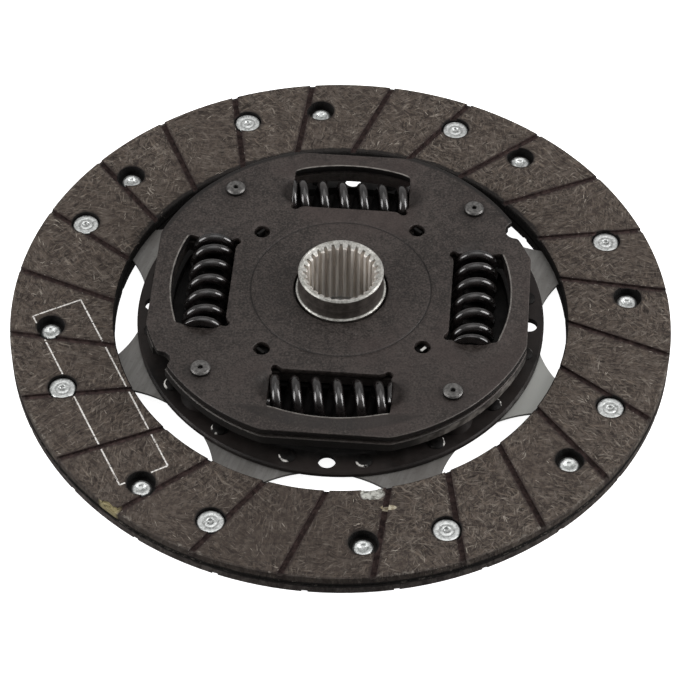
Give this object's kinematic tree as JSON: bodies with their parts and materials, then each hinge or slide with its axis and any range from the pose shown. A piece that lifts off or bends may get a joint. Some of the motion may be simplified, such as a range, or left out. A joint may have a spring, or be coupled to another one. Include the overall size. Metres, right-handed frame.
{
  "type": "clutch disc",
  "caption": "Dry clutch disc: grooved friction facings riveted to sprung segments, a coil-spring torsional damper under a windowed cover plate, and a splined hub that can twist.",
  "frame": {"origin": "on the disc's axis, in the plane of the flywheel-side friction face", "axes": "+Z along the axis towards the gearbox side (the longer end of the hub); +X to the right in the picture, +Y away from its camera"},
  "size_m": [0.2, 0.2, 0.0258],
  "materials": {
    "friction_lining": "moulded woven fibre lining, matt",
    "spring_steel_strip": "dull rolled spring steel",
    "rivet_steel": "bright pressed steel",
    "black_steel": "black oxide, semi-gloss",
    "phosphated_steel": "dark mottled phosphate",
    "flange_steel": "blanked and hardened steel",
    "hub_steel": "turned and broached steel",
    "spring_black": "black, glossy with oil",
    "washer_plastic": "glass-filled nylon"
  },
  "bodies": {
    "disc": {"facing_gearbox_side": "friction_lining", "facing_flywheel_side": "friction_lining", "cushion_segment_1": "spring_steel_strip", "cushion_segment_2": "spring_steel_strip", "cushion_segment_3": "spring_steel_strip", "cushion_segment_4": "spring_steel_strip", "cushion_segment_5": "spring_steel_strip", "cushion_segment_6": "spring_steel_strip", "cushion_segment_7": "spring_steel_strip", "cushion_segment_8": "spring_steel_strip", "facing_rivets_gearbox_side": "rivet_steel", "facing_rivets_flywheel_side": "rivet_steel", "drive_plate": "black_steel", "segment_rivets": "black_steel", "retainer_plate": "phosphated_steel", "stop_pins": "rivet_steel", "friction_washer_flywheel_side": "washer_plastic", "friction_washer_gearbox_side": "washer_plastic", "support_ring": "rivet_steel", "diaphragm_spring": "spring_steel_strip", "centring_bush": "washer_plastic"},
    "hub": {"splined_hub": "hub_steel", "hub_flange": "flange_steel"},
    "springs": {"damper_spring_1": "spring_black", "damper_spring_2": "spring_black", "damper_spring_3": "spring_black", "damper_spring_4": "spring_black"}
  },
  "joints": [
    {"name": "hub_twist", "type": "hinge", "parent": "disc", "child": "hub", "pos_m": [0, 0, 0.0131], "axis": [0, 0, 1], "range_deg": [-6, 6], "stiffness_Nm_per_rad": 720},
    {"name": "spring_follow", "type": "hinge", "parent": "disc", "child": "springs", "pos_m": [0, 0, 0.0131], "axis": [0, 0, 1], "range_deg": [-3, 3], "deforming": ["damper_spring_1", "damper_spring_2", "damper_spring_3", "damper_spring_4"]}
  ],
  "couplings": [
    {"joint": "spring_follow", "follows": "hub_twist", "ratio": 0.5}
  ]
}
